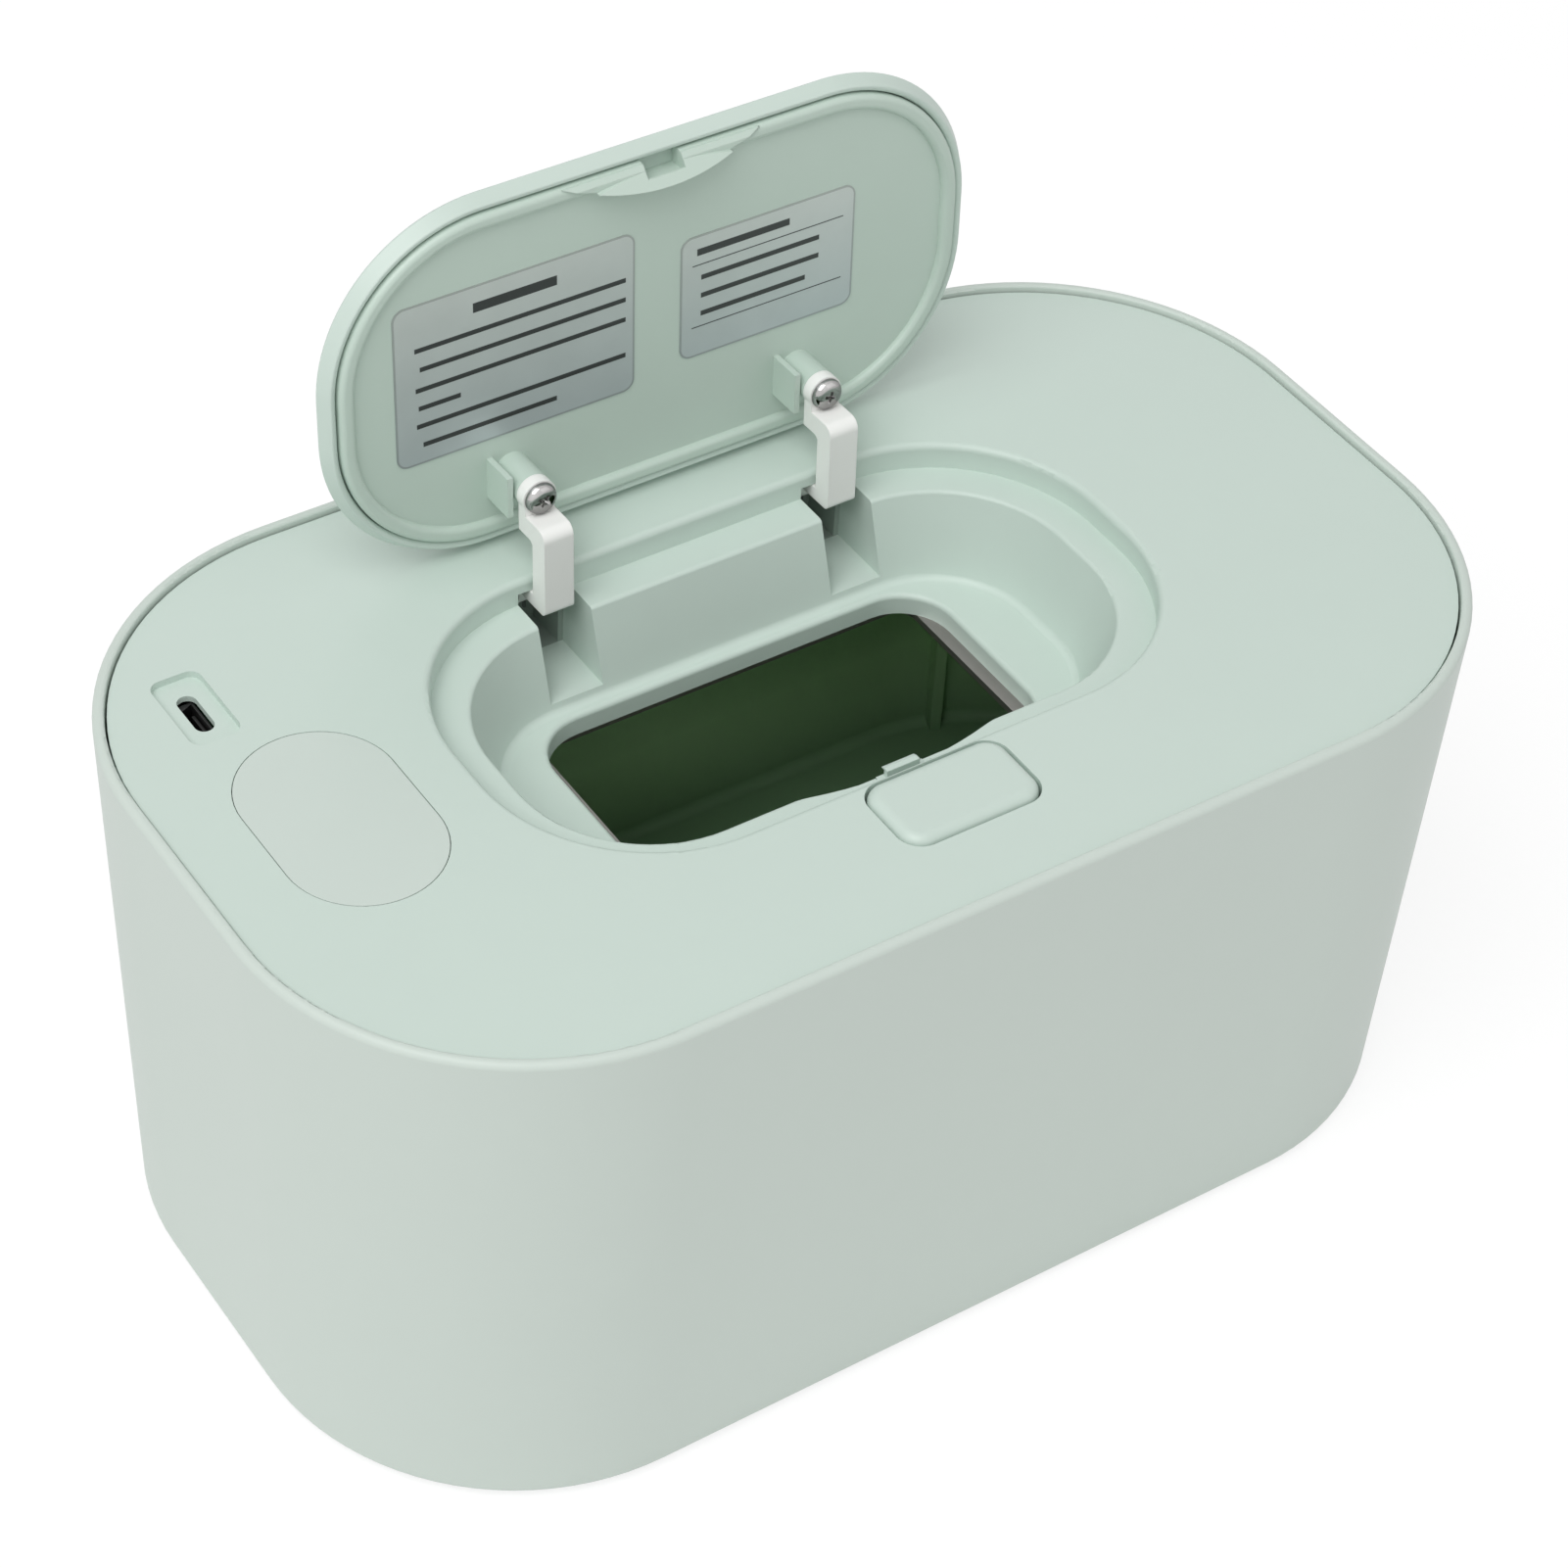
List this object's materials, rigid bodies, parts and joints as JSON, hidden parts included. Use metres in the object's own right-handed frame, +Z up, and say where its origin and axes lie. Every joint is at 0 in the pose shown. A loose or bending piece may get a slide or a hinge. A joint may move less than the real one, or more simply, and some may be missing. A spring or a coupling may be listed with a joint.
{
  "type": "baby wipe warmer",
  "caption": "Rounded desktop wipe warmer with a lift-off heating cover, a dispensing opening and a sprung flip lid released by a push button.",
  "frame": {"origin": "centre of the footprint on the table, under the four rubber feet", "axes": "+Z up, X along the long side of the body, -Y towards the front with the release button, hinge at +Y"},
  "size_m": [0.21, 0.125, 0.1599],
  "materials": {
    "mint_shell": "fine satin",
    "mint_panel": "fine satin",
    "mint_lid": "fine satin",
    "mint_lid_inner": "fine satin",
    "mint_button": "fine satin",
    "window_mint": "semi gloss",
    "green_liner": "matte",
    "foot_rubber": "matte",
    "white_plastic": "satin",
    "hinge_white": "satin",
    "heater_metal": "brushed",
    "amber_film": "gloss",
    "white_foam": "foam",
    "clear_silicone": "satin",
    "screw_steel": "zinc",
    "screw_chrome": "polished",
    "spring_steel": "drawn wire",
    "board_green": "solder mask",
    "socket_black": "moulded",
    "display_white": "semi gloss",
    "wire_red": "cable sheath",
    "label_grey": "printed film"
  },
  "bodies": {
    "base": {"outer_shell": "mint_shell", "inner_liner": "green_liner", "rubber_feet": "foot_rubber"},
    "cover": {"top_panel": "mint_panel", "under_cover": "white_plastic", "heater_plate": "heater_metal", "heating_film": "amber_film", "insulation_pad": "white_foam", "cover_seal": "clear_silicone", "cover_screws": "screw_steel", "control_board": "board_green", "board_screws": "screw_steel", "micro_usb_socket": "socket_black", "touch_window": "window_mint", "light_display": "display_white", "touch_spring": "spring_steel", "temperature_sensor": "socket_black", "thermal_fuse": "screw_steel", "heater_wires": "wire_red", "left_hinge_housing": "hinge_white", "right_hinge_housing": "hinge_white", "housing_screws": "screw_steel", "hinge_pins": "spring_steel", "hinge_springs": "spring_steel", "latch_frame": "white_plastic", "frame_screws": "screw_steel", "button_springs": "spring_steel", "latch_spring": "spring_steel"},
    "lid": {"lid_outer": "mint_lid", "lid_inner": "mint_lid_inner", "left_hinge_arm": "hinge_white", "right_hinge_arm": "hinge_white", "lid_screws": "screw_chrome", "left_label": "label_grey", "right_label": "label_grey"},
    "button": {"release_button": "mint_button"},
    "latch": {"latch_slider": "hinge_white"}
  },
  "joints": [
    {"name": "cover_lift", "type": "slide", "parent": "base", "child": "cover", "axis": [0, 0, 1], "range_m": [0, 0.04]},
    {"name": "lid_hinge", "type": "hinge", "parent": "cover", "child": "lid", "pos_m": [0, 0.038, 0.0908], "axis": [-1, 0, 0], "range_deg": [-92.5, 0], "stiffness_Nm_per_rad": 0.008, "springref_deg": 28.65, "deforming": ["hinge_springs"]},
    {"name": "button_press", "type": "slide", "parent": "cover", "child": "button", "axis": [0, 0, -1], "range_m": [0, 0.0018], "stiffness_N_per_m": 400, "springref_m": -0.001, "deforming": ["button_springs"]},
    {"name": "latch_slide", "type": "slide", "parent": "cover", "child": "latch", "axis": [0, -1, 0], "range_m": [0, 0.0009], "stiffness_N_per_m": 300, "springref_m": -0.0008, "deforming": ["latch_spring"]}
  ],
  "couplings": [
    {"joint": "latch_slide", "follows": "button_press", "ratio": 0.5}
  ]
}
